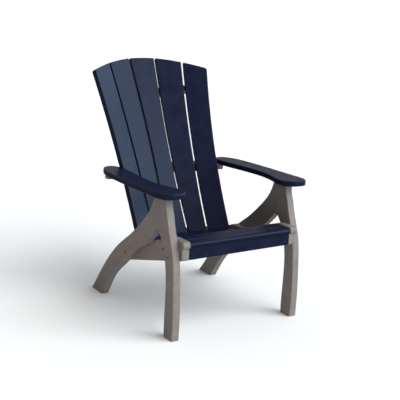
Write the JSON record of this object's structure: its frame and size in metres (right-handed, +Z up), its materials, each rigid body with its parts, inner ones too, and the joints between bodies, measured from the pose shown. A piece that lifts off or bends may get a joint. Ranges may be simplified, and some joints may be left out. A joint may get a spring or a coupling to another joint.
{
  "type": "adirondack chair",
  "caption": "Upright adirondack chair of navy and grey recycled-plastic lumber: fanned barrel back, sloping slatted seat, wide arms and curved splayed legs.",
  "frame": {"origin": "on the floor, below the middle of the chair's bounding box", "axes": "+Z up; -Y the way the chair faces; +X to the right seen from the front"},
  "size_m": [0.8142, 1.0104, 1.1829],
  "materials": {
    "frame_lumber": "warm grey solid recycled-plastic lumber, satin with an embossed wood grain",
    "seat_lumber": "navy solid recycled-plastic lumber, satin with an embossed wood grain",
    "bolt_steel": "stainless steel, dulled outdoors",
    "grey_screw": "steel screw with a baked grey coat to match the frame",
    "navy_screw": "steel screw with a baked navy coat to match the boards"
  },
  "bodies": {
    "root": {"front_leg_left": "frame_lumber", "rear_leg_left": "frame_lumber", "seat_rail_left": "frame_lumber", "arm_left": "seat_lumber", "front_leg_right": "frame_lumber", "rear_leg_right": "frame_lumber", "seat_rail_right": "frame_lumber", "arm_right": "seat_lumber", "front_apron": "seat_lumber", "seat_slat_1": "seat_lumber", "seat_slat_2": "seat_lumber", "seat_slat_3": "seat_lumber", "seat_slat_4": "seat_lumber", "seat_slat_5": "seat_lumber", "seat_slat_6": "seat_lumber", "seat_slat_7": "seat_lumber", "seat_slat_8": "seat_lumber", "back_slat_1": "seat_lumber", "back_slat_2": "seat_lumber", "back_slat_3": "seat_lumber", "back_slat_4": "seat_lumber", "back_slat_5": "seat_lumber", "back_brace_lower": "frame_lumber", "arm_brace": "frame_lumber", "back_brace_upper": "frame_lumber", "frame_bolts": "bolt_steel", "seat_screws": "grey_screw", "apron_screws": "grey_screw", "brace_screws": "grey_screw", "back_screws": "navy_screw", "arm_screws": "navy_screw", "leg_dowels": "frame_lumber"}
  },
  "joints": []
}
